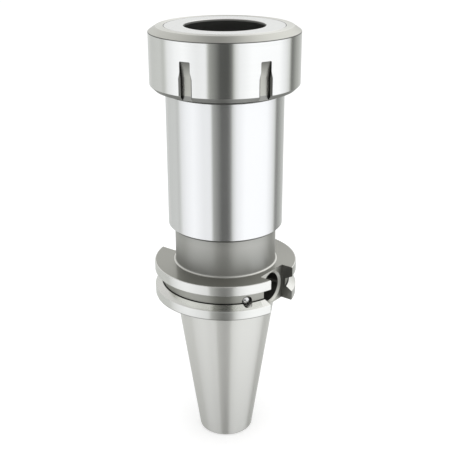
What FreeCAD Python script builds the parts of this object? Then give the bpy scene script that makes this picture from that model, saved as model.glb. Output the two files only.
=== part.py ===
# Collet chuck holder: a steep-taper shank with a V-flange, a long body and a ball-bearing collet nut.
# Millimetres. The Z axis is the spindle axis, +Z towards the nut, and z = 0 is the gauge line of the taper.
# +X runs through the drive slot with the balance hole.
import FreeCAD, Part
import math
import os

from FreeCAD import Vector

# Shank: 7/24 taper
gaugeDiameter = 44.45
taperRatio = 7.0 / 24.0
shankLength = 68.25
shankEndChamfer = 0.9

# How far every cutter runs out of the material, and how close two corners count as one
overrun = 1.0
nearly = 0.01

# Flange with its gripper groove
flangeDiameter = 63.5
flangeRear = 3.175
flangeFront = 19.05
flangeEdgeChamfer = 0.5
grooveDepth = 3.57
grooveFloorWidth = 3.2
grooveFlankAngle = 30.0

# Drive slots and the balance hole drilled in the floor of the shallow one
driveSlotWidth = 16.4
shallowSlotFloor = 25.2
deepSlotFloor = 22.6
balanceHoleDiameter = 12.8
balanceHoleDepth = 7.0
balanceHoleChamfer = 0.9
drillPointAngle = 118.0

# Neck, body and threaded nose
neckDiameter = 44.5
neckRoot = 0.9
neckLength = 16.95
bodyDiameter = 50.0
bodyLength = 59.6
bodyRearChamfer = 1.0
bodyFrontChamfer = 0.7
noseReliefDepth = 1.2
noseReliefWidth = 2.4
noseLength = 13.1
noseLeadChamfer = 0.8

# Clamping thread, drawn as plain walls at its pitch diameter
clampThreadPitch = 1.5
clampThreadDiameter = 50.0
threadGap = 0.06

# Collet seat and the bores behind it
seatMouthDiameter = 40.0
seatHalfAngle = 8.0
seatLength = 38.0
seatReliefWidth = 2.0
seatReliefDepth = 0.8
shankBoreDiameter = 27.0
shankBoreDepth = 64.7
stopThreadLength = 30.0
stopThreadDiameter = 18.8
coolantBoreDiameter = 10.0

# Retention knob seat in the small end
knobThreadDiameter = 13.5
knobThreadLength = 30.0
knobPilotDiameter = 16.3
knobPilotDepth = 5.0
knobPilotChamfer = 0.5

# Radial passages from the groove to the coolant bore, each shut by a ball
passageAngle = -33.6
passageDrop = 1.1
passageDiameter = 3.5
plugDiameter = 4.5
plugSides = 12
plugGap = 0.05
plugSetBack = 0.35

# Clamping nut
nutWall = 6.46
nutHeight = 25.5
nutStandOff = 1.0
nutRearChamferWidth = 2.05
nutRearChamferHeight = 2.0
nutShoulderWidth = 3.1
nutShoulderHeight = 2.1
nutThreadChamfer = 0.9
ringDiameter = 50.0
ringGap = 0.04
ringRearGap = 0.3

# Spanner slots: a form cutter with an upright tip and flared flanks climbs out of the wall
spannerSlots = 6
spannerSlotAngle = -22.0
spannerSlotWidth = 4.76
spannerTipHeight = 1.4
spannerFlareAngle = 48.0
spannerSlotDepth = 2.15
spannerLevelLength = 8.9
spannerRampDepth = 0.5
spannerSlotLength = 15.65
spannerCornerRadius = 0.6

# Cone ring inside the nut
openingDiameter = 33.6
openingLand = 0.9
openingFlare = 0.2
coneHalfAngle = 30.0
coneLargeDiameter = 41.4
lipDiameter = 40.2
lipOffset = 1.1
lipWidth = 2.0
lipBack = 1.6
skirtDiameter = 43.4

# Ball row between the ring and the nut
ballCount = 32
ballDiameter = 4.0
ballSides = 8
ballRowBack = 6.5
ballGap = 0.05
fillerAngle = 158.0
fillerDiameter = 4.6
fillerGap = 0.05
fillerSocket = 2.0
fillerSocketDepth = 1.6

# Stop screw in the bore
stopScrewLength = 16.0
stopScrewGap = 0.06
stopScrewRestGap = 0.3
stopScrewChamfer = 1.0
stopScrewSocket = 10.0
stopScrewSocketDepth = 8.0
stopScrewHole = 8.0

flangeRadius = flangeDiameter / 2
gaugeRadius = gaugeDiameter / 2
neckRadius = neckDiameter / 2
bodyRadius = bodyDiameter / 2
ringRadius = ringDiameter / 2
nutRadius = ringRadius + ringGap + nutWall
ballRadius = ballDiameter / 2
flankHeight = clampThreadPitch * math.sqrt(3) / 2
pitchRadius = clampThreadDiameter / 2 - flankHeight * 3 / 8
noseRadius = pitchRadius - threadGap / 2
nutThreadRadius = pitchRadius + threadGap / 2
grooveCentre = (flangeRear + flangeFront) / 2
grooveFloorRadius = flangeRadius - grooveDepth
passageHeight = grooveCentre - passageDrop
bodyRear = flangeFront + neckLength
bodyFront = bodyRear + bodyLength
noseFace = bodyFront + noseLength
seatRear = noseFace - seatLength
stopThreadFront = noseFace - shankBoreDepth
stopThreadRear = stopThreadFront - stopThreadLength
nutRear = bodyFront + nutStandOff
nutFace = nutRear + nutHeight
spannerRampStart = nutRear + spannerLevelLength
spannerSlotTop = nutRear + spannerSlotLength
ballRowHeight = nutFace - ballRowBack


def tan(degrees):
    return math.tan(math.radians(degrees))


def at(radius, z):
    return Vector(radius, 0, z)


def turned(points):
    """A solid turned about Z from a closed outline of (radius, z) corners."""
    corners = [at(r, z) for r, z in points]
    outline = Part.makePolygon(corners + corners[:1])
    return Part.Face(outline).revolve(Vector(), Vector(0, 0, 1), 360)


def aroundZ(shape, degrees):
    copy = shape.copy()
    copy.rotate(Vector(), Vector(0, 0, 1), degrees)
    return copy


def ballRace():
    """The cutter for the two races: a square ring on its corner, so each ball rolls on four flanks."""
    reachOut = (ballRadius + ballGap) * math.sqrt(2)
    return turned([
        (ringRadius - reachOut, ballRowHeight),
        (ringRadius, ballRowHeight - reachOut),
        (ringRadius + reachOut, ballRowHeight),
        (ringRadius, ballRowHeight + reachOut),
    ])


def facetedBall(radius, sides, bands):
    """A ball with flat facets, whose corners all lie on the sphere."""
    rows = []
    for band in range(1, bands):
        tilt = math.pi * band / bands
        row = []
        for side in range(sides):
            turn = 2 * math.pi * side / sides
            across = radius * math.sin(tilt)
            row.append(Vector(across * math.cos(turn), across * math.sin(turn), radius * math.cos(tilt)))
        rows.append(row)
    faces = []
    for side in range(sides):
        after = (side + 1) % sides
        outlines = [[Vector(0, 0, radius), rows[0][side], rows[0][after]]]
        outlines.append([Vector(0, 0, -radius), rows[-1][after], rows[-1][side]])
        for upper, lower in zip(rows, rows[1:]):
            outlines.append([upper[side], lower[side], lower[after], upper[after]])
        for outline in outlines:
            faces.append(Part.Face(Part.makePolygon(outline + outline[:1])))
    return Part.makeSolid(Part.makeShell(faces))


def hexagon(acrossFlats, low, high):
    corners = []
    for k in range(7):
        angle = math.radians(60 * k)
        size = acrossFlats / math.sqrt(3)
        corners.append(Vector(size * math.cos(angle), size * math.sin(angle), low))
    return Part.Face(Part.makePolygon(corners)).extrude(Vector(0, 0, high - low))


def shankAndBody():
    """Everything turned on the outside of the one-piece holder, from the small end to the nose."""
    smallRadius = gaugeRadius - shankLength * taperRatio / 2
    chamferRadius = smallRadius + shankEndChamfer * taperRatio / 2
    flank = grooveDepth * tan(grooveFlankAngle)
    reliefRadius = noseRadius - noseReliefDepth
    floorLow = grooveCentre - grooveFloorWidth / 2
    floorHigh = grooveCentre + grooveFloorWidth / 2
    edge = flangeEdgeChamfer
    return turned([
        (0, -shankLength),
        (smallRadius - shankEndChamfer, -shankLength),
        (chamferRadius, -shankLength + shankEndChamfer),
        (gaugeRadius, 0),
        (gaugeRadius, flangeRear),
        (flangeRadius - edge, flangeRear),
        (flangeRadius, flangeRear + edge),
        (flangeRadius, floorLow - flank),
        (grooveFloorRadius, floorLow),
        (grooveFloorRadius, floorHigh),
        (flangeRadius, floorHigh + flank),
        (flangeRadius, flangeFront - edge),
        (flangeRadius - edge, flangeFront),
        (neckRadius + neckRoot, flangeFront),
        (neckRadius, flangeFront + neckRoot),
        (neckRadius, bodyRear),
        (bodyRadius - bodyRearChamfer, bodyRear),
        (bodyRadius, bodyRear + bodyRearChamfer),
        (bodyRadius, bodyFront - bodyFrontChamfer),
        (bodyRadius - bodyFrontChamfer, bodyFront),
        (reliefRadius, bodyFront),
        (reliefRadius, bodyFront + noseReliefWidth),
        (noseRadius, bodyFront + noseReliefWidth + noseReliefDepth),
        (noseRadius, noseFace - noseLeadChamfer),
        (noseRadius - noseLeadChamfer, noseFace),
        (0, noseFace),
    ])


def bores():
    """The collet seat, the stepped bore and the retention knob's seat, as one turned cutter."""
    seatMouth = seatMouthDiameter / 2
    seatSmall = seatMouth - seatLength * tan(seatHalfAngle)
    reliefRadius = seatSmall + seatReliefDepth
    stopRadius = stopThreadDiameter / 2
    coolant = coolantBoreDiameter / 2
    knob = knobThreadDiameter / 2
    pilot = knobPilotDiameter / 2
    pilotFloor = -shankLength + knobPilotDepth
    knobEnd = pilotFloor + knobThreadLength
    return turned([
        (0, -shankLength - overrun),
        (pilot + knobPilotChamfer + overrun, -shankLength - overrun),
        (pilot, -shankLength + knobPilotChamfer),
        (pilot, pilotFloor),
        (knob, pilotFloor),
        (knob, knobEnd),
        (coolant, knobEnd + (knob - coolant) / tan(drillPointAngle / 2)),
        (coolant, stopThreadRear),
        (stopRadius, stopThreadRear),
        (stopRadius, stopThreadFront),
        (shankBoreDiameter / 2, stopThreadFront),
        (shankBoreDiameter / 2, seatRear - seatReliefWidth),
        (reliefRadius, seatRear - seatReliefWidth),
        (reliefRadius, seatRear),
        (seatSmall, seatRear),
        (seatMouth, noseFace),
        (seatMouth + overrun, noseFace + overrun),
        (0, noseFace + overrun),
    ])


def driveSlot(floor, angle):
    """A keyway milled across the whole flange, with its floor at the given distance from the axis."""
    depth = flangeRadius + overrun - floor
    height = flangeFront - flangeRear + 2 * overrun
    corner = Vector(floor, -driveSlotWidth / 2, flangeRear - overrun)
    return aroundZ(Part.makeBox(depth, driveSlotWidth, height, corner), angle)


def balanceHole():
    """The blind hole with a drilled tip and a chamfered mouth."""
    radius = balanceHoleDiameter / 2
    tip = radius / tan(drillPointAngle / 2)
    mouth = radius + balanceHoleChamfer
    above = flangeRadius - shallowSlotFloor + overrun
    hole = turned([
        (0, -balanceHoleDepth - tip),
        (radius, -balanceHoleDepth),
        (radius, -balanceHoleChamfer),
        (mouth, 0),
        (mouth, above),
        (0, above),
    ])
    hole.rotate(Vector(), Vector(0, 1, 0), 90)
    hole.translate(Vector(shallowSlotFloor, 0, grooveCentre))
    return hole


def plugCentre():
    return grooveFloorRadius - plugSetBack - plugDiameter / 2


def radialPassage(angle):
    """A drilling from the groove's floor to the coolant bore, opened out for its ball."""
    along = Vector(1, 0, 0)
    seatRadius = passageDiameter / 2
    shoulder = plugCentre() - math.sqrt((plugDiameter / 2) ** 2 - seatRadius ** 2) - plugGap
    start = Vector(0, 0, passageHeight)
    drilling = Part.makeCylinder(seatRadius, plugCentre(), start, along)
    pocketRadius = plugDiameter / 2 + plugGap
    pocket = Part.makeCylinder(pocketRadius, flangeRadius, start + along * shoulder, along)
    return aroundZ(drilling.fuse(pocket), angle)


def holderBody():
    cutters = [
        bores(),
        driveSlot(shallowSlotFloor, 0),
        driveSlot(deepSlotFloor, 180),
        balanceHole(),
        radialPassage(passageAngle),
        radialPassage(passageAngle + 180),
    ]
    return shankAndBody().cut(cutters).removeSplitter()


def passagePlugs():
    """The two balls that shut the radial passages."""
    balls = []
    for angle in (passageAngle, passageAngle + 180):
        ball = facetedBall(plugDiameter / 2, plugSides, plugSides // 2)
        ball.translate(Vector(plugCentre(), 0, passageHeight))
        balls.append(aroundZ(ball, angle))
    return Part.makeCompound(balls)


def slotSection(floorRadius, z):
    """The form cutter's outline across a spanner slot, from its tip at floorRadius to outside the nut."""
    half = spannerSlotWidth / 2
    outer = nutRadius + overrun
    flareStart = floorRadius + spannerTipHeight
    flare = (outer - flareStart) * tan(spannerFlareAngle)
    corners = [
        Vector(floorRadius, -half, z),
        Vector(flareStart, -half, z),
        Vector(outer, -half - flare, z),
        Vector(outer, half + flare, z),
        Vector(flareStart, half, z),
        Vector(floorRadius, half, z),
    ]
    return Part.Face(Part.makePolygon(corners + corners[:1]))


def spannerSlot(angle):
    """The cutter's path: level along the wall, then climbing to the slot's flat top."""
    deepFloor = nutRadius - spannerSlotDepth
    climb = spannerSlotDepth - spannerRampDepth
    rise = spannerSlotTop - spannerRampStart
    start = nutRear - overrun
    level = slotSection(deepFloor, start).extrude(Vector(0, 0, spannerRampStart - start))
    ramp = slotSection(deepFloor, spannerRampStart).extrude(Vector(climb, 0, rise))
    topFloor = deepFloor + climb
    corners = []
    for edge in ramp.Edges:
        ends = [v.Point for v in edge.Vertexes]
        onTop = all(abs(p.z - spannerSlotTop) < nearly for p in ends)
        upright = all(abs(abs(p.y) - spannerSlotWidth / 2) < nearly for p in ends)
        if onTop and upright and min(p.x for p in ends) < topFloor + nearly:
            corners.append(edge)
    ramp = ramp.makeFillet(spannerCornerRadius, corners)
    return aroundZ(level.fuse(ramp), angle)


def fillerHole(gap):
    """The radial hole through which the balls go in."""
    start = Vector(ringRadius, 0, ballRowHeight)
    length = nutRadius - ringRadius + overrun
    return Part.makeCylinder(fillerDiameter / 2 + gap, length, start, Vector(1, 0, 0))


def nutBody():
    bore = ringRadius + ringGap
    blank = turned([
        (nutThreadRadius + nutThreadChamfer, nutRear),
        (nutRadius - nutRearChamferWidth, nutRear),
        (nutRadius, nutRear + nutRearChamferHeight),
        (nutRadius, nutFace - nutShoulderHeight),
        (nutRadius - nutShoulderWidth, nutFace),
        (bore, nutFace),
        (bore, noseFace),
        (nutThreadRadius, noseFace),
        (nutThreadRadius, nutRear + nutThreadChamfer),
    ])
    slots = []
    for k in range(spannerSlots):
        slots.append(spannerSlot(spannerSlotAngle + k * 360.0 / spannerSlots))
    filler = aroundZ(fillerHole(fillerGap), fillerAngle)
    return blank.cut(slots + [ballRace(), filler]).removeSplitter()


def coneRing():
    """The ring that bears on the collet's front cone and pulls the collet out with its offset lip."""
    opening = openingDiameter / 2
    large = coneLargeDiameter / 2
    landRear = nutFace - openingLand
    coneRear = landRear - (large - opening) / tan(coneHalfAngle)
    lipFront = coneRear - lipBack
    lipRear = lipFront - lipWidth
    rear = noseFace + ringRearGap
    blank = turned([
        (opening, landRear),
        (opening + openingFlare, nutFace),
        (ringRadius, nutFace),
        (ringRadius, rear),
        (skirtDiameter / 2, rear),
        (skirtDiameter / 2, lipRear),
        (lipDiameter / 2 - lipOffset, lipRear),
        (lipDiameter / 2 - lipOffset, lipFront),
        (large, lipFront),
        (large, coneRear),
    ])
    lipBore = Part.makeCylinder(lipDiameter / 2, lipWidth, Vector(lipOffset, 0, lipRear))
    return blank.cut([lipBore, ballRace()]).removeSplitter()


def ballRow():
    balls = []
    for k in range(ballCount):
        ball = facetedBall(ballRadius, ballSides, ballSides // 2)
        ball.translate(Vector(ringRadius, 0, ballRowHeight))
        balls.append(aroundZ(ball, fillerAngle + (k + 0.5) * 360.0 / ballCount))
    return Part.makeCompound(balls)


def fillerPlug():
    """The screw that shuts the filler hole, flush with the nut and clear of the race."""
    start = ringRadius + ballRadius + ballGap
    length = math.sqrt(nutRadius ** 2 - (fillerDiameter / 2) ** 2) - start
    plug = Part.makeCylinder(fillerDiameter / 2, length)
    socket = hexagon(fillerSocket, length - fillerSocketDepth, length + overrun)
    plug = plug.cut(socket)
    plug.rotate(Vector(), Vector(0, 1, 0), 90)
    plug.translate(Vector(start, 0, ballRowHeight))
    return aroundZ(plug, fillerAngle)


def stopScrew():
    """The hollow screw that sets how deep a tool goes in."""
    radius = stopThreadDiameter / 2 - stopScrewGap
    low = stopThreadRear + stopScrewRestGap
    high = low + stopScrewLength
    chamfer = stopScrewChamfer
    blank = turned([
        (stopScrewHole / 2, low),
        (radius, low),
        (radius, high - chamfer),
        (radius - chamfer, high),
        (stopScrewHole / 2, high),
    ])
    return blank.cut(hexagon(stopScrewSocket, high - stopScrewSocketDepth, high + overrun))


parts = {
    "holder_body": holderBody,
    "passage_plug_balls": passagePlugs,
    "nut_body": nutBody,
    "nut_cone_ring": coneRing,
    "bearing_balls": ballRow,
    "ball_filler_plug": fillerPlug,
    "stop_screw": stopScrew,
}

os.makedirs("parts", exist_ok=True)
for name, make in parts.items():
    shape = make()
    shape.exportStep("parts/" + name + ".step")
    state = "valid" if shape.isValid() else "NOT VALID"
    print(name, len(shape.Solids), "solids", round(shape.Volume), "mm3", state)
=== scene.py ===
import math

import bmesh
import bpy
from mathutils import Matrix, Vector


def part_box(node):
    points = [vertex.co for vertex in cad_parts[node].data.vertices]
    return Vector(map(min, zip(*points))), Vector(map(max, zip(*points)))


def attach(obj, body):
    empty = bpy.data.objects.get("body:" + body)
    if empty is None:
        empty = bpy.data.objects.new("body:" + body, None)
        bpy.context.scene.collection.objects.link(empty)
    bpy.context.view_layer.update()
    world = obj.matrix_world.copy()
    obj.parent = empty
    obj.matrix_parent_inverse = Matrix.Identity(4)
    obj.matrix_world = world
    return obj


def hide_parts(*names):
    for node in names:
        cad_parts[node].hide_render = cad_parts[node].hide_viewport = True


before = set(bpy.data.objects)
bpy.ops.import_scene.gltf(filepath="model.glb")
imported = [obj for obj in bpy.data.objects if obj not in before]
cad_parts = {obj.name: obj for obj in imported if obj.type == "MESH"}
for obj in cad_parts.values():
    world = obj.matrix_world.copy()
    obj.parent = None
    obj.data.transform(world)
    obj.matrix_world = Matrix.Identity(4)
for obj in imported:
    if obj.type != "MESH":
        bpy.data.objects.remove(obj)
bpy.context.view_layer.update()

mm = 0.001               # sizes below are in millimetres, as on a drawing
turns = 256              # steps round each turned piece
holeSteps = 64           # steps round a small drilled hole
overrun = 1.0            # how far a cutter runs past what it cuts
weld = 0.001 * mm        # points nearer than this become one
slack = 0.01 * mm        # how far off a point may lie and still count as on a height or a side
print("frame loaded:", sorted(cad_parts))


def heights(node):       # lowest and highest z of a piece, in millimetres
    low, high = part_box(node)
    return low.z / mm, high.z / mm


def deselectAll():
    if bpy.context.object and bpy.context.object.mode == "EDIT":
        bpy.ops.object.mode_set(mode="OBJECT")
    bpy.ops.object.select_all(action="DESELECT")


def activate(piece):
    deselectAll()
    piece.select_set(True)
    bpy.context.view_layer.objects.active = piece


def selectMesh():
    bpy.ops.mesh.select_all(action="SELECT")


def pick(piece, kind, wanted):       # selects only the verts, edges or faces that pass the test
    bpy.context.tool_settings.mesh_select_mode = [kind == k for k in ("verts", "edges", "faces")]
    bpy.ops.mesh.select_all(action="DESELECT")
    cage = bmesh.from_edit_mesh(piece.data)
    for item in getattr(cage, kind):
        if wanted(item):
            item.select_set(True)
    bmesh.update_edit_mesh(piece.data)


def turnOutwards():      # sets the normals of a closed shape and leaves edit mode
    selectMesh()
    bpy.ops.mesh.normals_make_consistent(inside=False)
    bpy.ops.object.mode_set(mode="OBJECT")


def drawOutline(name, corners, close=False):
    # one vertex, pulled from corner to corner; a corner is (x, y, z), then its rounding and its steps
    deselectAll()
    bpy.ops.mesh.primitive_plane_add(size=mm)
    piece = bpy.context.object
    piece.name = name
    piece.data.name = name
    bpy.ops.object.mode_set(mode="EDIT")
    bpy.context.tool_settings.mesh_select_mode = (True, False, False)
    selectMesh()
    bpy.ops.mesh.merge(type="CENTER")
    points = [Vector(corner[:3]) * mm for corner in corners]
    if close:
        points.append(points[0])
    bpy.ops.transform.translate(value=points[0])
    for start, end in zip(points, points[1:]):
        bpy.ops.mesh.extrude_region_move(TRANSFORM_OT_translate={"value": end - start})
    selectMesh()
    bpy.ops.mesh.remove_doubles(threshold=weld)
    roundings = sorted({corner[3:] for corner in corners if len(corner) > 3})
    for width, steps in roundings:
        places = [point for point, corner in zip(points, corners) if corner[3:] == (width, steps)]
        pick(piece, "verts", lambda v: any((v.co - place).length < weld for place in places))
        bpy.ops.mesh.bevel(offset=width * mm, segments=steps, affect="VERTICES")
    return piece


def spinOutline(name, outline, steps, close):    # an outline of (radius, z, ...) swept round the Z axis
    corners = [(corner[0], 0, *corner[1:]) for corner in outline]
    piece = drawOutline(name, corners, close)
    selectMesh()
    bpy.ops.mesh.spin(steps=steps, angle=2 * math.pi, center=(0, 0, 0), axis=(0, 0, 1))
    selectMesh()
    bpy.ops.mesh.remove_doubles(threshold=weld)
    turnOutwards()
    return piece


def turnPiece(name, outline):        # the outline closes on itself, clear of the axis
    return spinOutline(name, outline, turns, close=True)


def spunCutter(name, outline, steps, move):
    # the outline starts and ends on the axis, and the cutter is laid along X and moved to its place
    cutter = spinOutline(name, outline, steps, close=False)
    cutter.data.transform(Matrix.Rotation(math.radians(90), 4, "Y"))
    cutter.data.transform(Matrix.Translation(Vector(move) * mm))
    return cutter


def raiseOutline(name, corners, *moves):         # a filled outline, extruded by each move in turn
    piece = drawOutline(name, corners, close=True)
    selectMesh()
    bpy.ops.mesh.edge_face_add()
    for move in moves:
        bpy.ops.mesh.extrude_region_move(TRANSFORM_OT_translate={"value": Vector(move) * mm})
    return piece


def turnedCopy(piece, degrees):
    copy = piece.copy()
    copy.data = piece.data.copy()
    copy.data.transform(Matrix.Rotation(math.radians(degrees), 4, "Z"))
    bpy.context.collection.objects.link(copy)
    return copy


def cutAway(piece, cutter):
    activate(piece)
    cut = piece.modifiers.new("cut", "BOOLEAN")
    cut.operation = "DIFFERENCE"
    cut.solver = "EXACT"
    cut.object = cutter
    bpy.ops.object.modifier_apply(modifier=cut.name)
    bpy.data.objects.remove(cutter)


def finishShape(piece, sharpRings=()):
    def onSharpRing(edge):
        return any(all(abs(v.co.z - z * mm) < slack for v in edge.verts) for z in sharpRings)

    activate(piece)
    bpy.ops.object.shade_smooth_by_angle(angle=math.radians(30))
    bpy.ops.object.mode_set(mode="EDIT")
    pick(piece, "edges", onSharpRing)
    bpy.ops.mesh.mark_sharp()
    bpy.ops.object.mode_set(mode="OBJECT")
    # broad faces keep their true shading, and the edge breaks take the turn between them
    even = piece.modifiers.new("even", "WEIGHTED_NORMAL")
    even.keep_sharp = True
    even.weight = 100
    bpy.ops.object.modifier_apply(modifier=even.name)


shankEnd, noseFace = heights("holder_body")
nutRear, nutFace = heights("nut_body")

holder = {
    "gaugeRadius": 22.225,
    "taper": 7 / 48,
    "smallEndRound": 0.9,
    "flangeRadius": 31.75,
    "flangeRear": 3.175,
    "flangeFront": 19.05,
    "flangeEdge": 0.5,
    "grooveDepth": 3.57,
    "grooveFloor": 3.2,
    "grooveAngle": 30,
    "grooveEdge": 0.1,
    "neckRadius": 22.25,
    "neckFillet": 0.9,
    "bodyRadius": 25.0,
    "bodyRear": 36.0,
    "bodyFront": 95.6,
    "bodyRearChamfer": 1.0,
    "bodyFrontChamfer": 0.7,
    "noseRadius": 24.48,
    "noseRelief": 1.2,
    "noseReliefWidth": 2.4,
    "noseEdge": 0.8,
    "seatMouth": 20.0,
    "seatEdge": 0.3,
    "seatSmall": 14.66,
    "seatLength": 38.0,
    "undercutDepth": 0.8,
    "undercutWidth": 2.0,
    "shankBore": 13.5,
    "shankBoreEnd": 44.0,
    "stopThread": 9.4,
    "stopThreadEnd": 14.0,
    "coolantBore": 5.0,
    "knobThread": 6.75,
    "knobThreadLength": 30.0,
    "knobDrillTip": 1.05,
    "knobPilot": 8.15,
    "knobPilotDepth": 5.0,
    "knobPilotEdge": 0.5,
    "slotHalfWidth": 8.2,
    "shallowFloor": 25.2,
    "deepFloor": 22.6,
    "balanceRadius": 6.4,
    "balanceDepth": 7.0,
    "balanceChamfer": 0.9,
    "balanceOverrun": 3.0,
    "balanceSteps": 96,
    "drillAngle": 59,
}
flangeCentre = (holder["flangeRear"] + holder["flangeFront"]) / 2


def holderOutline(h):
    smallEnd = h["gaugeRadius"] + shankEnd * h["taper"]
    flank = h["grooveDepth"] * math.tan(math.radians(h["grooveAngle"]))
    floorRadius = h["flangeRadius"] - h["grooveDepth"]
    low, high = flangeCentre - h["grooveFloor"] / 2, flangeCentre + h["grooveFloor"] / 2
    reliefRadius = h["noseRadius"] - h["noseRelief"]
    reliefFront = h["bodyFront"] + h["noseReliefWidth"]
    seatRear = noseFace - h["seatLength"]
    undercutRadius, undercutRear = h["seatSmall"] + h["undercutDepth"], seatRear - h["undercutWidth"]
    knobStart = shankEnd + h["knobPilotDepth"]
    knobEnd = knobStart + h["knobThreadLength"]
    return [
        (h["knobPilot"] + h["knobPilotEdge"], shankEnd),
        (smallEnd, shankEnd, h["smallEndRound"], 4),
        (h["gaugeRadius"], 0),
        (h["gaugeRadius"], h["flangeRear"]),
        (h["flangeRadius"], h["flangeRear"], h["flangeEdge"], 2),
        (h["flangeRadius"], low - flank, h["grooveEdge"], 2),
        (floorRadius, low),
        (floorRadius, high),
        (h["flangeRadius"], high + flank, h["grooveEdge"], 2),
        (h["flangeRadius"], h["flangeFront"], h["flangeEdge"], 2),
        (h["neckRadius"], h["flangeFront"], h["neckFillet"], 8),
        (h["neckRadius"], h["bodyRear"]),
        (h["bodyRadius"], h["bodyRear"], h["bodyRearChamfer"], 1),
        (h["bodyRadius"], h["bodyFront"], h["bodyFrontChamfer"], 1),
        (reliefRadius, h["bodyFront"]),
        (reliefRadius, reliefFront),
        (h["noseRadius"], reliefFront + h["noseRelief"]),
        (h["noseRadius"], noseFace, h["noseEdge"], 1),
        (h["seatMouth"], noseFace, h["seatEdge"], 1),
        (h["seatSmall"], seatRear),
        (undercutRadius, seatRear),
        (undercutRadius, undercutRear),
        (h["shankBore"], undercutRear),
        (h["shankBore"], h["shankBoreEnd"]),
        (h["stopThread"], h["shankBoreEnd"]),
        (h["stopThread"], h["stopThreadEnd"]),
        (h["coolantBore"], h["stopThreadEnd"]),
        (h["coolantBore"], knobEnd + h["knobDrillTip"]),
        (h["knobThread"], knobEnd),
        (h["knobThread"], knobStart),
        (h["knobPilot"], knobStart),
        (h["knobPilot"], shankEnd + h["knobPilotEdge"]),
    ]


def slotCutter(h, floor, side):      # a milled keyway across the flange, on the +X or -X side
    half, low, high = h["slotHalfWidth"], h["flangeRear"] - overrun, h["flangeFront"] + overrun
    inner, outer = side * floor, side * (h["flangeRadius"] + overrun)
    corners = [(inner, -half, low), (outer, -half, low), (outer, half, low), (inner, half, low)]
    cutter = raiseOutline("slotCutter", corners, (0, 0, high - low))
    turnOutwards()
    return cutter


def balanceCutter(h):
    radius, chamfer = h["balanceRadius"], h["balanceChamfer"]
    tip = radius / math.tan(math.radians(h["drillAngle"]))
    outline = [
        (0, -h["balanceDepth"] - tip),
        (radius, -h["balanceDepth"]),
        (radius, -chamfer),
        (radius + chamfer, 0),
        (radius + chamfer, h["balanceOverrun"]),
        (0, h["balanceOverrun"]),
    ]
    return spunCutter("balanceCutter", outline, h["balanceSteps"], (h["shallowFloor"], 0, flangeCentre))


thread = {"pitch": 1.5, "depth": 0.48, "halfWidth": 0.63, "back": 0.05, "steps": 90, "rise": 12.0}


def cutThread(piece, radius, side, start):   # winds a vee out of a wall: side -1 cuts inwards, 1 outwards
    back, tip, half = radius - side * thread["back"], radius + side * thread["depth"], thread["halfWidth"]
    corners = [(back, 0, start - half), (tip, 0, start), (back, 0, start + half)]
    cutter = drawOutline("threadCutter", corners, close=True)
    bpy.ops.object.mode_set(mode="OBJECT")
    wind = cutter.modifiers.new("wind", "SCREW")
    wind.steps = thread["steps"]
    wind.screw_offset = thread["pitch"] * mm
    wind.iterations = round(thread["rise"] / thread["pitch"])
    wind.use_merge_vertices = False
    bpy.ops.object.modifier_apply(modifier=wind.name)
    bpy.ops.object.mode_set(mode="EDIT")
    selectMesh()
    bpy.ops.mesh.fill_holes(sides=3)
    turnOutwards()
    cutAway(piece, cutter)


plugs = {
    "angle": -33.6,
    "height": 10.0125,
    "centre": 25.58,
    "radius": 2.25,
    "steps": 48,
    "hole": 2.3,
    "holeDepth": 1.46,
    "holeOverrun": 5.0,
    "passage": 1.75,
    "passageStart": 4.0,
}


def passageCutter(p):
    start = p["passageStart"] - p["centre"]
    outline = [
        (0, start),
        (p["passage"], start),
        (p["passage"], -p["holeDepth"]),
        (p["hole"], -p["holeDepth"]),
        (p["hole"], p["holeOverrun"]),
        (0, p["holeOverrun"]),
    ]
    return spunCutter("passageCutter", outline, holeSteps, (p["centre"], 0, p["height"]))


def makeHolder(h, p):
    piece = turnPiece("holderTurned", holderOutline(h))
    cutAway(piece, slotCutter(h, h["shallowFloor"], 1))
    cutAway(piece, slotCutter(h, h["deepFloor"], -1))
    cutAway(piece, balanceCutter(h))
    passage = passageCutter(p)
    cutAway(piece, turnedCopy(passage, p["angle"] + 180))
    passage.data.transform(Matrix.Rotation(math.radians(p["angle"]), 4, "Z"))
    cutAway(piece, passage)
    cutThread(piece, h["noseRadius"], -1, h["bodyFront"] + h["noseReliefWidth"])
    finishShape(piece, sharpRings=(0,))
    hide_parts("holder_body")
    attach(piece, "holder")
    print("holder:", len(piece.data.polygons), "faces")
    return piece


def makeBalls(name, radius, steps, centre, angles):
    # a half circle spun into a ball, whose copies stand round the axis at the given angles
    arc = [math.pi * k / (steps // 2) for k in range(steps // 2 + 1)]
    ball = spunCutter(name, [(radius * math.sin(a), -radius * math.cos(a)) for a in arc], steps, centre)
    pieces = [turnedCopy(ball, degrees) for degrees in angles]
    bpy.data.objects.remove(ball)
    activate(pieces[0])
    for copy in pieces:
        copy.select_set(True)
    bpy.ops.object.join()
    bpy.ops.object.shade_smooth()
    pieces[0].name = name
    return pieces[0]


def makePlugs(p):
    angles = (p["angle"], p["angle"] + 180)
    piece = makeBalls("plugBalls", p["radius"], p["steps"], (p["centre"], 0, p["height"]), angles)
    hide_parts("passage_plug_balls")
    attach(piece, "holder")
    return piece


balls = {"count": 32, "radius": 2.0, "steps": 32, "ring": 25.0, "back": 6.5}
ballRow = nutFace - balls["back"]

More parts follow.
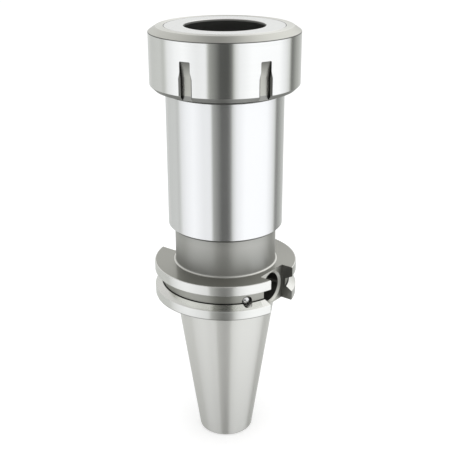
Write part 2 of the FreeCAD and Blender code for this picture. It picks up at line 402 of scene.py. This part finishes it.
nut = {
    "radius": 31.5,
    "rearChamfer": (2.05, 2.0),
    "rearEdges": (0.1, 0.12),
    "shoulder": (3.1, 2.1),
    "shoulderEdges": (0.15, 0.12),
    "thread": 24.543,
    "threadChamfer": 0.9,
    "ringBore": 25.04,
    "seam": 0.15,
    "raceReach": 2.899,
    "fillerAngle": 158.0,
    "fillerRadius": 2.35,
    "slots": 6,
    "slotAngle": -22.0,
    "slotHalfWidth": 2.38,
    "tipHeight": 1.4,
    "flare": 48.0,
    "slotDepth": 2.15,
    "levelLength": 8.9,
    "rampDepth": 0.5,
    "slotLength": 15.65,
    "cornerRound": 0.6,
    "cornerSteps": 5,
}


def nutOutline(n):
    radius = n["radius"]
    half = n["raceReach"] + balls["ring"] - n["ringBore"]
    return [
        (n["thread"] + n["threadChamfer"], nutRear),
        (radius - n["rearChamfer"][0], nutRear, n["rearEdges"][0], 1),
        (radius, nutRear + n["rearChamfer"][1], n["rearEdges"][1], 2),
        (radius, nutFace - n["shoulder"][1], n["shoulderEdges"][0], 2),
        (radius - n["shoulder"][0], nutFace, n["shoulderEdges"][1], 2),
        (n["ringBore"] + n["seam"], nutFace),
        (n["ringBore"], nutFace - n["seam"]),
        (n["ringBore"], ballRow + half),
        (balls["ring"] + n["raceReach"], ballRow),
        (n["ringBore"], ballRow - half),
        (n["ringBore"], noseFace),
        (n["thread"], noseFace),
        (n["thread"], nutRear + n["threadChamfer"]),
    ]


def spannerCutter(n):    # a form cutter's section, run level up the wall and then climbing out of it
    half, floor, outer = n["slotHalfWidth"], n["radius"] - n["slotDepth"], n["radius"] + overrun
    flareStart = floor + n["tipHeight"]
    flare = (outer - flareStart) * math.tan(math.radians(n["flare"]))
    start, bend, top = nutRear - overrun, nutRear + n["levelLength"], nutRear + n["slotLength"]
    climb = n["slotDepth"] - n["rampDepth"]
    corners = [
        (floor, -half, start),
        (flareStart, -half, start),
        (outer, -half - flare, start),
        (outer, half + flare, start),
        (flareStart, half, start),
        (floor, half, start),
    ]

    def topCorner(edge):
        atTop = all(abs(v.co.z - top * mm) < slack for v in edge.verts)
        atSide = all(abs(abs(v.co.y) - half * mm) < slack for v in edge.verts)
        return atTop and atSide and abs(edge.verts[0].co.x - edge.verts[1].co.x) > 10 * slack

    cutter = raiseOutline("spannerCutter", corners, (0, 0, bend - start), (climb, 0, top - bend))
    pick(cutter, "edges", topCorner)
    bpy.ops.mesh.bevel(offset=n["cornerRound"] * mm, segments=n["cornerSteps"], affect="EDGES")
    turnOutwards()
    return cutter


def makeNut(n):
    piece = turnPiece("nutTurned", nutOutline(n))
    cutter = spannerCutter(n)
    for k in range(n["slots"]):
        cutAway(piece, turnedCopy(cutter, n["slotAngle"] + k * 360 / n["slots"]))
    bpy.data.objects.remove(cutter)
    drill = [(0, 0), (n["fillerRadius"], 0), (n["fillerRadius"], n["radius"]), (0, n["radius"])]
    filler = spunCutter("fillerCutter", drill, holeSteps, (balls["ring"], 0, ballRow))
    filler.data.transform(Matrix.Rotation(math.radians(n["fillerAngle"]), 4, "Z"))
    cutAway(piece, filler)
    cutThread(piece, n["thread"], 1, nutRear)
    finishShape(piece)
    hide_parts("nut_body")
    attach(piece, "nut")
    print("nut:", len(piece.data.polygons), "faces")
    return piece


ring = {
    "opening": 16.8,
    "land": 0.9,
    "landFlare": 0.2,
    "landEdge": 0.1,
    "radius": 25.0,
    "edge": 0.15,
    "coneLarge": 20.7,
    "coneAngle": 30,
    "lipRadius": 20.1,
    "lipOffset": 1.1,
    "lipWidth": 2.0,
    "lipBack": 1.6,
    "skirt": 21.7,
    "rearGap": 0.3,
}


def makeRing(r):
    landRear = nutFace - r["land"]
    coneRear = landRear - (r["coneLarge"] - r["opening"]) / math.tan(math.radians(r["coneAngle"]))
    lipFront = coneRear - r["lipBack"]
    lipRear = lipFront - r["lipWidth"]
    rear = noseFace + r["rearGap"]
    lipInner = r["lipRadius"] - r["lipOffset"]
    piece = turnPiece("ringTurned", [
        (r["opening"], landRear),
        (r["opening"] + r["landFlare"], nutFace, r["landEdge"], 2),
        (r["radius"] - r["edge"], nutFace),
        (r["radius"], nutFace - r["edge"]),
        (r["radius"], ballRow + nut["raceReach"]),
        (r["radius"] - nut["raceReach"], ballRow),
        (r["radius"], ballRow - nut["raceReach"]),
        (r["radius"], rear),
        (r["skirt"], rear),
        (r["skirt"], lipRear),
        (lipInner, lipRear),
        (lipInner, lipFront),
        (r["coneLarge"], lipFront),
        (r["coneLarge"], coneRear),
    ])
    deselectAll()
    bpy.ops.mesh.primitive_cylinder_add(     # bores the lip off centre
        vertices=turns,
        radius=r["lipRadius"] * mm,
        depth=(lipFront - lipRear + overrun) * mm,
        location=(r["lipOffset"] * mm, 0, (lipFront + lipRear - overrun) / 2 * mm),
    )
    cutAway(piece, bpy.context.object)
    finishShape(piece)
    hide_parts("nut_cone_ring")
    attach(piece, "cone_ring")
    return piece


def makeBallRow(b):
    angles = [nut["fillerAngle"] + (k + 0.5) * 360 / b["count"] for k in range(b["count"])]
    piece = makeBalls("ballRow", b["radius"], b["steps"], (b["ring"], 0, ballRow), angles)
    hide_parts("bearing_balls")
    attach(piece, "ball_row")
    return piece


holderPiece = makeHolder(holder, plugs)
plugPiece = makePlugs(plugs)
nutPiece = makeNut(nut)
ringPiece = makeRing(ring)
ballPiece = makeBallRow(balls)
print("pieces modelled")


class Signal:            # a socket that can be reckoned with; each operator adds one Math node
    def __init__(self, recipe, socket):
        self.recipe = recipe
        self.socket = socket

    def __add__(self, other):
        return self.recipe.maths("ADD", self, other)

    def __radd__(self, other):
        return self.recipe.maths("ADD", other, self)

    def __sub__(self, other):
        return self.recipe.maths("SUBTRACT", self, other)

    def __rsub__(self, other):
        return self.recipe.maths("SUBTRACT", other, self)

    def __mul__(self, other):
        return self.recipe.maths("MULTIPLY", self, other)

    def __rmul__(self, other):
        return self.recipe.maths("MULTIPLY", other, self)

    def __truediv__(self, other):
        return self.recipe.maths("DIVIDE", self, other)

    def rising(self, start, end):        # 0 below start, 1 above end
        return self.recipe.maths("MULTIPLY", self - start, 1 / (end - start), clamp=True)

    def falling(self, start, end):       # 1 below start, 0 above end
        return 1 - self.rising(start, end)

    def between(self, low, high, soft=0.04):
        return self.rising(low - soft, low + soft) * self.falling(high - soft, high + soft)


class Recipe:            # the nodes of one material or world
    def __init__(self, owner):
        owner.use_nodes = True
        self.tree = owner.node_tree
        self.tree.nodes.clear()

    def add(self, kind, settings=None, values=None, output=0):
        node = self.tree.nodes.new(kind)
        for key, value in (settings or {}).items():
            if key == "stops":
                self.setStops(node.color_ramp, value)
            else:
                setattr(node, key, value)
        for key, value in (values or {}).items():
            if isinstance(value, Signal):
                self.tree.links.new(value.socket, node.inputs[key])
            else:
                node.inputs[key].default_value = value
        return Signal(self, node.outputs[output]) if node.outputs else None

    def maths(self, operation, *values, clamp=False):
        settings = {"operation": operation, "use_clamp": clamp}
        return self.add("ShaderNodeMath", settings, dict(enumerate(values)))

    def setStops(self, ramp, stops):
        while len(ramp.elements) < len(stops):
            ramp.elements.new(1)
        for element, (place, level) in zip(ramp.elements, stops):
            element.position = place
            element.color = grey(level)

    def colour(self, first, second, share):
        values = {0: share, 6: first, 7: second}
        return self.add("ShaderNodeMix", {"data_type": "RGBA", "clamp_factor": True}, values, 2)

    def noise(self, vector, scale, detail):
        return self.add("ShaderNodeTexNoise", {}, {"Vector": vector, "Scale": scale, "Detail": detail}, "Fac")

    def scaled(self, vector, factors):
        return self.add("ShaderNodeVectorMath", {"operation": "MULTIPLY"}, {0: vector, 1: factors})

    def parts(self, vector):
        return [self.add("ShaderNodeSeparateXYZ", {}, {0: vector}, axis) for axis in "XYZ"]

    def joined(self, x, y, z):
        return self.add("ShaderNodeCombineXYZ", {}, {"X": x, "Y": y, "Z": z})

    def bump(self, height, strength, depth):
        values = {"Strength": strength, "Distance": depth * mm, "Height": height}
        return self.add("ShaderNodeBump", {}, values)

    def finish(self, shader):
        self.add("ShaderNodeOutputMaterial", {}, {"Surface": shader})


def grey(level, warmth=0.0):
    return (level, level, level * (1 - 3 * warmth), 1)


# the steel's two finishes: ground bright, and turned or milled with lines that scatter along the axis
finishes = {
    "ground": {"roughness": 0.15, "anisotropy": 0.75, "depth": 0.0012, "coarseLines": 0.5},
    "turned": {"roughness": 0.42, "anisotropy": 0.75, "depth": 0.0035, "coarseLines": 1.0},
}
steelLook = {
    "tones": (grey(0.85, 0.008), grey(0.90, 0.006)),
    "coarse": (0.8, 1.4),        # noise cells for each radian round the axis and each millimetre across
    "fine": (1.5, 5.2),
    "clouds": 0.055,             # noise cells for each millimetre
    "lineRoughness": 0.08,
    "cloudRoughness": 0.05,
}


class SteelRecipe(Recipe):       # steel in zones: each has its own tone, finish and share of dull film; several of the tones are painted shade, and one a painted highlight
    def __init__(self, name, zones):
        self.material = bpy.data.materials.new(name)
        super().__init__(self.material)
        self.zones = zones
        self.at = self.scaled(self.add("ShaderNodeTexCoord", output="Object"), (1 / mm,) * 3)
        self.x, self.y, self.z = self.parts(self.at)
        self.reach = self.maths("SQRT", self.x * self.x + self.y * self.y)
        self.coarse = self.lines(*steelLook["coarse"])
        self.fine = self.lines(*steelLook["fine"])
        self.clouds = self.noise(self.at, steelLook["clouds"], 4.0)
        self.tone = self.colour(*steelLook["tones"], self.coarse)
        self.turnedShare = 0.0
        self.film = 0.0

    def lines(self, around, across):     # grooves that run round the axis, on walls and faces alike
        x, y = self.x / self.reach * around, self.y / self.reach * around
        return self.noise(self.joined(x, y, (self.z + self.reach) * across), 1.0, 3.0)

    def across(self, first, count):
        # distance from the middle of the nearest of some slots, which stand evenly round the axis
        angle = self.maths("ARCTAN2", self.y, self.x) - math.radians(first)
        near = self.maths("WRAP", angle, math.pi / count, -math.pi / count)
        return self.maths("ABSOLUTE", self.maths("SINE", near) * self.reach)

    def zone(self, name, share):
        level, warmth, turned, film = self.zones[name]
        self.tone = self.colour(self.tone, grey(level, warmth), share)
        self.turnedShare = self.turnedShare + (turned - self.turnedShare) * share
        self.film = self.film + (film - self.film) * share

    def shader(self, finish):
        height = self.fine + self.coarse * finish["coarseLines"]
        marks = (self.fine - 0.5) * steelLook["lineRoughness"]
        stains = (self.clouds - 0.5) * steelLook["cloudRoughness"]
        return self.add("ShaderNodeBsdfPrincipled", {}, {
            "Base Color": self.tone,
            "Metallic": 1 - self.film,
            "Roughness": finish["roughness"] + marks + stains,
            "Anisotropic": finish["anisotropy"],
            "Anisotropic Rotation": 0.25,
            "Normal": self.bump(height, 1.0, finish["depth"]),
        })

    def made(self):
        both = {0: self.turnedShare, 1: self.shader(finishes["ground"]), 2: self.shader(finishes["turned"])}
        self.finish(self.add("ShaderNodeMixShader", {}, both))
        return self.material


# In the masks below, the small numbers beside an edge are the width over which a zone fades in there.
nutLook = {
    "zones": {           # level, warmth, share of turned finish, share of film
        # painted shade: the chamfer of the shoulder is given a darker tone
        "shoulder": (0.66, 0.025, 1.0, 0.15),
        # painted shade on the nut's rear chamfer, which faces down
        "rearChamfer": (0.34, 0.02, 1.0, 0.0),
        # the slots' floors: milled finish, and a darker tone that is painted shade
        "slotFloor": (0.56, 0.03, 1.0, 0.2),
        # painted shade where the slots climb out at their top
        "slotRampShade": (0.10, 0.03, 1.0, 0.2),
        # painted shade: the slots' walls near black
        "slotWallShade": (0.05, 0.02, 0.5, 0.0),
        # painted shade on the flared edges of the slots
        "slotFlareShade": (0.20, 0.02, 1.0, 0.0),
        # painted shadow: a dark line along the wall under the shoulder's edge
        "shoulderShadowLine": (0.16, 0.02, 1.0, 0.0),
        "face": (0.80, 0.02, 1.0, 0.0),
        "seam": (0.08, 0.02, 1.0, 0.0),
        # painted shade inside the opening of the cone ring
        "opening": (0.16, 0.02, 1.0, 0.3),
    },
    "insideSlots": 26.3,         # a radius between the slots and the thread
    "ringEdge": 24.9,            # just inside the seam
    "faceEdge": 25.2,            # just outside it
    "rampFade": (9.5, 17.0),     # heights above the nut's rear
    "openingFade": (0.3, 0.15),  # depths below its face
}


def nutSteel(n, look):
    steel = SteelRecipe("nutSteel", look["zones"])
    z, reach, radius, half = steel.z, steel.reach, n["radius"], n["slotHalfWidth"]
    edge, face, rear = nutFace - n["shoulder"][1], radius - n["shoulder"][0], nutRear + n["rearChamfer"][1]
    rampStart, rampEnd = [nutRear + height for height in look["rampFade"]]
    openingStart, openingEnd = [nutFace - depth for depth in look["openingFade"]]
    across = steel.across(n["slotAngle"], n["slots"])
    slots = z.falling(edge - 0.4, edge - 0.3) * reach.between(look["insideSlots"], radius - 0.03, 0.01)
    aboveChamfer = z.rising(rear - 0.1, rear)
    # painted shade on the shoulder's chamfer
    steel.zone("shoulder", z.rising(edge, edge + 0.08) * reach.rising(face + 0.02, face + 0.1))
    # painted shade on the rear chamfer
    steel.zone("rearChamfer", z.falling(rear - 0.1, rear) * reach.falling(radius - 0.02, radius))
    # the slots' floors: milled finish, with painted shade
    steel.zone("slotFloor", slots * aboveChamfer)
    # painted shade on the slots' ramps
    steel.zone("slotRampShade", slots * z.rising(rampStart, rampEnd))
    # painted shade on the slots' walls
    steel.zone("slotWallShade", slots * across.between(half - 0.03, half + 0.04, 0.01))
    # painted shade on the slots' flares
    steel.zone("slotFlareShade", slots * aboveChamfer * across.rising(half + 0.05, half + 0.1))
    # painted shadow line under the shoulder's edge
    onWall = reach.rising(radius - 0.3, radius - 0.2)
    steel.zone("shoulderShadowLine", z.between(edge - 0.3, edge + 0.06, 0.03) * onWall)
    steel.zone("face", z.rising(nutFace - 0.05, nutFace - 0.03) * reach.between(look["faceEdge"], face))
    steel.zone("seam", reach.between(n["ringBore"] - 0.1, n["ringBore"] + 0.12))
    # painted shade inside the ring's opening
    onRing = reach.falling(look["ringEdge"], look["ringEdge"] + 0.05)
    steel.zone("opening", z.falling(openingStart, openingEnd) * onRing)
    return steel.made()


holderLook = {
    "zones": {           # level, warmth, share of turned finish, share of film
        "taper": (0.84, 0.015, 0.45, 0.55),
        # painted shade: the taper darker towards its small end
        "taperEndShade": (0.62, 0.015, 0.45, 0.55),
        "rims": (0.88, 0.012, 0.65, 0.0),
        "flanks": (0.80, 0.015, 0.08, 0.0),
        "body": (0.90, 0.0, 0.25, 0.0),
        # the neck's matte turned finish, with a darker tone that is painted shade
        "neck": (0.50, 0.02, 1.0, 0.3),
        # painted shade on the neck, deepening towards the flange
        "neckFootShade": (0.30, 0.02, 1.0, 0.3),
        # painted shade on the chamfer under the body's rear edge
        "bodyChamferShade": (0.22, 0.02, 1.0, 0.0),
        # painted shade on the flange's front face
        "flangeFaceShade": (0.38, 0.03, 0.55, 0.0),
        # painted shade on the floor of the vee groove
        "grooveFloor": (0.42, 0.03, 1.0, 0.0),
        # painted shadow: a dark line in the groove's lower corner
        "grooveShadowLine": (0.03, 0.02, 1.0, 0.0),
        # painted shade on the flange's rear edge
        "rimEdgeShade": (0.30, 0.02, 1.0, 0.0),
        # the drive slots' floor: milled finish, and a darker tone that is painted shade
        "slotFloor": (0.70, 0.025, 1.0, 0.2),
        # painted shade, darker towards one side of the slot floor
        "slotFloorSideShade": (0.25, 0.025, 1.0, 0.2),
        # painted shade on the drive slots' walls
        "slotWallShade": (0.20, 0.03, 0.4, 0.3),
        # painted shade: the balance hole near black inside
        "hole": (0.06, 0.02, 1.0, 0.3),
        # painted shade in the pockets of the passage plugs
        "passageShade": (0.26, 0.02, 1.0, 0.0),
        # painted highlight: the neck's fillet kept lighter than the shaded neck
        "fillet": (0.76, 0.02, 0.9, 0.0),
        # painted shade inside the bores
        "boreShade": (0.14, 0.02, 1.0, 0.3),
    },
    "taperFade": (-72, -2),      # heights
    "neckFade": (1, 13),         # heights above the flange
    "slotSideFade": 3.5,         # distance from the slot's middle
    "outsideNeck": 23.0,         # a radius in the neck's fillet
    "holeSide": 12.0,            # the least x of the balance hole
    "holeStart": 16.0,           # a radius outside the bore
    "passageStart": 20.0,
    "passageSide": 9.0,
    "passageHalf": 2.5,
    "boreSplit": 30.0,           # the height that parts the wide bores from the narrow ones
    "wideBore": 20.5,
    "narrowBore": 11.0,
}


def holderSteel(h, p, look):
    steel = SteelRecipe("holderSteel", look["zones"])
    x, y, z, reach = steel.x, steel.y, steel.z, steel.reach
    front, rear, radius, slot = h["flangeFront"], h["flangeRear"], h["flangeRadius"], h["slotHalfWidth"]
    outsideNeck, bodyRear, fillet = look["outsideNeck"], h["bodyRear"], h["neckFillet"]
    deep = radius - h["grooveDepth"]
    low, high = flangeCentre - h["grooveFloor"] / 2, flangeCentre + h["grooveFloor"] / 2
    chamferFoot = h["bodyRadius"] - h["bodyRearChamfer"]
    across = steel.maths("ABSOLUTE", y)
    inFlange = z.between(rear + 0.1, front - 0.1)
    slotFloor = inFlange * reach.falling(deep - 0.6, deep - 0.4)
    neck = z.between(front + 0.05, bodyRear + 0.05) * reach.falling(chamferFoot - 0.1, chamferFoot)
    neckStart, neckEnd = [front + height for height in look["neckFade"]]
    # the balance hole, whose inside gets painted shade
    holeHalf, holeMouth = h["balanceRadius"], h["shallowFloor"] - h["balanceChamfer"] - 0.2
    hole = x.between(look["holeSide"], holeMouth) * across.falling(holeHalf - 0.05, holeHalf + 0.05)
    hole = hole * z.between(flangeCentre - holeHalf - 0.2, flangeCentre + holeHalf + 0.2)
    passageLow, passageHigh = p["height"] - look["passageHalf"], p["height"] + look["passageHalf"]
    passageShade = z.between(passageLow, passageHigh) * reach.between(look["passageStart"], deep - 0.03, 0.02)
    split, wide, narrow = look["boreSplit"], look["wideBore"], look["narrowBore"]
    wideBores = reach.falling(wide, wide + 0.2) * z.rising(split, split + 1)
    narrowBores = reach.falling(narrow, narrow + 0.2) * z.falling(split, split + 1)

    steel.zone("taper", z.falling(-0.05, 0.05))
    # painted shade, darker towards the taper's small end
    steel.zone("taperEndShade", z.falling(*look["taperFade"]))
    steel.zone("rims", z.between(rear, front) * reach.rising(deep + 0.05, deep + 0.1))
    steel.zone("flanks", inFlange * reach.between(deep + 0.1, radius - 0.1))
    steel.zone("body", z.between(bodyRear + h["bodyRearChamfer"], h["bodyFront"]))
    # the neck: turned finish, with painted shade
    steel.zone("neck", neck)
    # painted shade at the foot of the neck
    steel.zone("neckFootShade", neck * z.falling(neckStart, neckEnd))
    # painted shade under the body's rear edge
    onChamfer = z.between(bodyRear - 0.02, bodyRear + h["bodyRearChamfer"] - 0.05)
    steel.zone("bodyChamferShade", onChamfer * reach.rising(outsideNeck, outsideNeck + 0.1))
    # painted shade on the flange's front face
    onFace = z.between(front - 0.02, front + 0.02, 0.01)
    steel.zone("flangeFaceShade", onFace * reach.rising(outsideNeck, outsideNeck + 0.2))
    # painted shade in the vee groove
    steel.zone("grooveFloor", z.between(low, high) * reach.between(deep - 0.4, deep + 0.05))
    # painted shadow line in the groove's corner
    steel.zone("grooveShadowLine", z.between(low - 0.4, low + 0.02, 0.03) * reach.between(deep - 0.4, deep + 0.6))
    # painted shade on the flange's rear edge
    onEdge = z.between(rear, rear + h["flangeEdge"])
    steel.zone("rimEdgeShade", onEdge * reach.rising(radius - 0.5, radius - 0.4))
    # the drive slots' floor: milled finish, with painted shade
    steel.zone("slotFloor", slotFloor)
    # painted shade towards one side of the slot floor
    steel.zone("slotFloorSideShade", slotFloor * y.rising(look["slotSideFade"], slot))
    # painted shade on the drive slots' walls
    inWalls = inFlange * across.between(slot - 0.02, slot + 0.02, 0.01)
    steel.zone("slotWallShade", inWalls * reach.rising(outsideNeck, outsideNeck + 1))
    steel.zone("hole", hole * reach.rising(look["holeStart"], look["holeStart"] + 0.1))
    # painted shade in the plugs' pockets
    steel.zone("passageShade", passageShade * across.rising(look["passageSide"], look["passageSide"] + 0.1))
    # painted highlight on the neck's fillet
    inFillet = reach.between(h["neckRadius"] + 0.15, h["neckRadius"] + fillet - 0.05, 0.03)
    steel.zone("fillet", inFillet * z.between(front, front + fillet - 0.05))
    # painted shade inside the bores
    steel.zone("boreShade", steel.maths("MAXIMUM", wideBores, narrowBores))
    return steel.made()


plainSteels = {          # roughness and tones run from their first value to their second with the marks
    "ballSteel": {
        "scale": 900.0,
        "detail": 3.0,
        "tones": (grey(0.66), grey(0.74)),
        "metallic": 1.0,
        "roughness": (0.16, 0.24),
        "bump": (0.3, 0.004),
    },
    "blackSteel": {
        "scale": 1500.0,
        "detail": 4.0,
        "tones": (grey(0.035), grey(0.075, 0.02)),
        "metallic": 0.6,
        "roughness": (0.38, 0.53),
        "bump": (0.4, 0.01),
    },
}


def plainSteel(name):
    s = plainSteels[name]
    material = bpy.data.materials.new(name)
    recipe = Recipe(material)
    marks = recipe.noise(recipe.add("ShaderNodeTexCoord", output="Object"), s["scale"], s["detail"])
    least, most = s["roughness"]
    recipe.finish(recipe.add("ShaderNodeBsdfPrincipled", {}, {
        "Base Color": recipe.colour(*s["tones"], marks),
        "Metallic": s["metallic"],
        "Roughness": least + marks * (most - least),
        "Normal": recipe.bump(marks, *s["bump"]),
    }))
    return material


def dress(piece, material):
    piece.data.materials.clear()
    piece.data.materials.append(material)


nutMaterial = nutSteel(nut, nutLook)
dress(nutPiece, nutMaterial)
dress(ringPiece, nutMaterial)
dress(holderPiece, holderSteel(holder, plugs, holderLook))
ballMaterial = plainSteel("ballSteel")
dress(plugPiece, ballMaterial)
dress(ballPiece, ballMaterial)
blackMaterial = plainSteel("blackSteel")
for node in ("ball_filler_plug", "stop_screw"):
    dress(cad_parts[node], blackMaterial)
print("materials set")

studio = {
    "cameraAngle": -52.5,        # degrees round the axis from +X
    "cameraReach": 0.3541,
    "cameraHeight": 0.1753,
    "lookDown": 21.7,
    "lookAside": 0.03,
    "roll": -0.213,
    "lens": 68.57,
    "floorSize": 6.0,
    "floorTone": 0.8,
    "floorGlow": 0.35,
    "lamp": {"place": (0.1, -0.2, 1.4), "size": 1.2, "power": 4.0},
    # what the metal sees round it: (degrees to the right of the camera, brightness)
    "surround": [
        (-180, 0.78), (-160, 0.70), (-140, 0.60), (-112, 0.64), (-104, 0.55), (-100, 0.66), (-95, 0.86),
        (-80, 1.02), (-64, 1.10), (-42, 0.94), (-28, 0.98), (-23.5, 0.36), (-16, 0.25), (-7, 0.09),
        (5, 0.08), (10, 0.17), (15, 0.72), (22, 0.97), (40, 1.14), (88, 1.12), (102, 0.92),
        (111, 0.72), (115, 0.38), (118, 0.18), (122, 0.22), (132, 0.38), (150, 0.56), (180, 0.78),
    ],
    # straight above, from the left (0) to the right (1)
    "ceiling": [
        (0.20, 0.72), (0.27, 0.58), (0.35, 0.26), (0.44, 0.05),
        (0.51, 0.10), (0.60, 0.48), (0.70, 0.92), (0.80, 1.25),
    ],
    # sines of the elevations between which the walls turn into the upper room, and that into the ceiling
    "wallTop": (0.02, 0.35),
    "ceilingEdge": (0.6, 0.95),
    "upperLevel": 0.95,
    "upperSlope": 0.35,          # the upper right is the brighter side
    "wallTint": (0.985, 1.0, 1.02),
    "shadeTint": (1.01, 1.02, 0.95),
    "shadeLevels": (0.35, 0.85),
    # low down the walls are a little darker, most of all on the left
    "footEdge": (-0.62, -0.48),
    "footDim": (0.08, 0.14),
    "footSides": (-0.2, 0.1),
    "roomLevel": 0.85,           # what lights the dull surfaces
}


def makeCamera(s):
    camera = bpy.data.cameras.new("camera")
    camera.lens = s["lens"]
    camera.sensor_width = 36
    camera.clip_start = 0.01
    camera.clip_end = 100
    rig = bpy.data.objects.new("camera", camera)
    bpy.context.collection.objects.link(rig)
    angle = math.radians(s["cameraAngle"])
    reach = s["cameraReach"]
    rig.location = (reach * math.cos(angle), reach * math.sin(angle), s["cameraHeight"])
    aim = Matrix.Rotation(angle + math.radians(90 + s["lookAside"]), 4, "Z")
    aim = aim @ Matrix.Rotation(math.radians(90 - s["lookDown"]), 4, "X")
    aim = aim @ Matrix.Rotation(math.radians(s["roll"]), 4, "Z")
    rig.rotation_euler = aim.to_euler()
    bpy.context.scene.camera = rig


def makeFloor(s):
    deselectAll()
    bpy.ops.mesh.primitive_plane_add(size=s["floorSize"], location=(0, 0, shankEnd * mm))
    floor = bpy.context.object
    floor.name = "floor"
    bpy.ops.object.transform_apply(location=True)
    material = bpy.data.materials.new("floor")
    recipe = Recipe(material)
    seen = recipe.add("ShaderNodeLightPath", output="Is Camera Ray")
    diffuse = recipe.add("ShaderNodeBsdfDiffuse", {}, {"Color": grey(s["floorTone"])})
    glow = recipe.add("ShaderNodeEmission", {}, {"Color": grey(1.0), "Strength": seen * s["floorGlow"]})
    recipe.finish(recipe.add("ShaderNodeAddShader", {}, {0: diffuse, 1: glow}))
    dress(floor, material)
    floor.visible_glossy = False     # the metal sees the studio all round, as it does on a glass stand


def makeSurround(s):
    world = bpy.data.worlds.new("studio")
    bpy.context.scene.world = world
    recipe = Recipe(world)
    look = recipe.add("ShaderNodeTexCoord", output="Generated")
    turn = {"Vector": look, "Angle": math.radians(-s["cameraAngle"])}
    x, y, z = recipe.parts(recipe.add("ShaderNodeVectorRotate", {"rotation_type": "Z_AXIS"}, turn))

    brightest = max(level for _, level in s["surround"])
    stops = [(0.5 + degrees / 360, level / brightest) for degrees, level in s["surround"]]
    share = recipe.maths("ARCTAN2", y, x) / (2 * math.pi) + 0.5
    bands = recipe.add("ShaderNodeValToRGB", {"stops": stops}, {0: share})
    light = [brightest * part for part in s["wallTint"]]
    walls = recipe.colour(grey(0), (*light, 1), bands)
    least, more = s["footDim"]
    foot = z.falling(*s["footEdge"]) * (least + y.falling(*s["footSides"]) * more)
    walls = recipe.colour(walls, grey(0), foot)
    shade = 1 - bands.rising(*s["shadeLevels"])
    walls = recipe.colour(walls, recipe.scaled(walls, s["shadeTint"]), shade)

    upper = y * s["upperSlope"] + s["upperLevel"]
    ceiling = recipe.add("ShaderNodeValToRGB", {"stops": s["ceiling"]}, {0: y * 0.5 + 0.5})
    high = recipe.colour(recipe.joined(upper, upper, upper), ceiling, z.rising(*s["ceilingEdge"]))
    room = recipe.colour(walls, high, z.rising(*s["wallTop"]))
    rays = ("Is Glossy Ray", "Is Camera Ray")
    inMetal, inCamera = [recipe.add("ShaderNodeLightPath", output=ray) for ray in rays]
    seen = recipe.colour(recipe.colour(grey(s["roomLevel"]), room, inMetal), grey(1.0), inCamera)
    background = recipe.add("ShaderNodeBackground", {}, {"Color": seen, "Strength": 1.0})
    recipe.add("ShaderNodeOutputWorld", {}, {"Surface": background})


def makeLamp(s):
    lamp = bpy.data.lights.new("overheadLamp", "AREA")
    lamp.size = s["size"]
    lamp.energy = s["power"]
    rig = bpy.data.objects.new("overheadLamp", lamp)
    bpy.context.collection.objects.link(rig)
    rig.location = s["place"]
    rig.rotation_euler = (-Vector(s["place"])).to_track_quat("-Z", "Y").to_euler()
    rig.visible_glossy = False


makeCamera(studio)
makeFloor(studio)
makeSurround(studio)
makeLamp(studio["lamp"])
bpy.context.scene.view_settings.view_transform = "Standard"
print("studio set")
